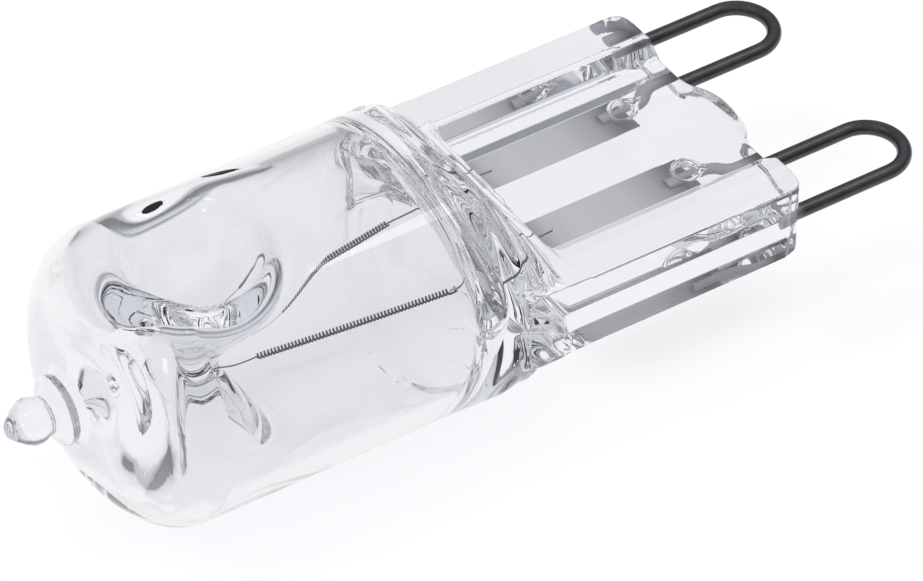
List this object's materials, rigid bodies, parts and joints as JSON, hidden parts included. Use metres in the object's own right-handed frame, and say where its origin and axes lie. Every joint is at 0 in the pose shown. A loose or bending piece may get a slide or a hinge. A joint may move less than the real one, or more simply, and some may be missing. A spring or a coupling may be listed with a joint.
{
  "type": "halogen capsule bulb",
  "caption": "Clear halogen capsule lamp: pinch-sealed quartz bulb with a dimpled pillar, coiled filament, sealing foils and looped wire contacts.",
  "frame": {"origin": "the lamp axis at the end plane of the pinch's ribs, midway between the contact loops", "axes": "+X along the lamp axis, out through the contact loops; +Y across the pinch; +Z the normal of the pinch's flat face"},
  "size_m": [0.0396, 0.013, 0.0126],
  "materials": {
    "quartz_glass": "clear polished",
    "tungsten": "drawn wire",
    "foil": "rolled",
    "contact_wire": "dark oxide, polished"
  },
  "bodies": {
    "root": {"glass_envelope": "quartz_glass", "filament": "tungsten", "foil_left": "foil", "foil_right": "foil", "contact_loop_left": "contact_wire", "contact_loop_right": "contact_wire"}
  },
  "joints": []
}
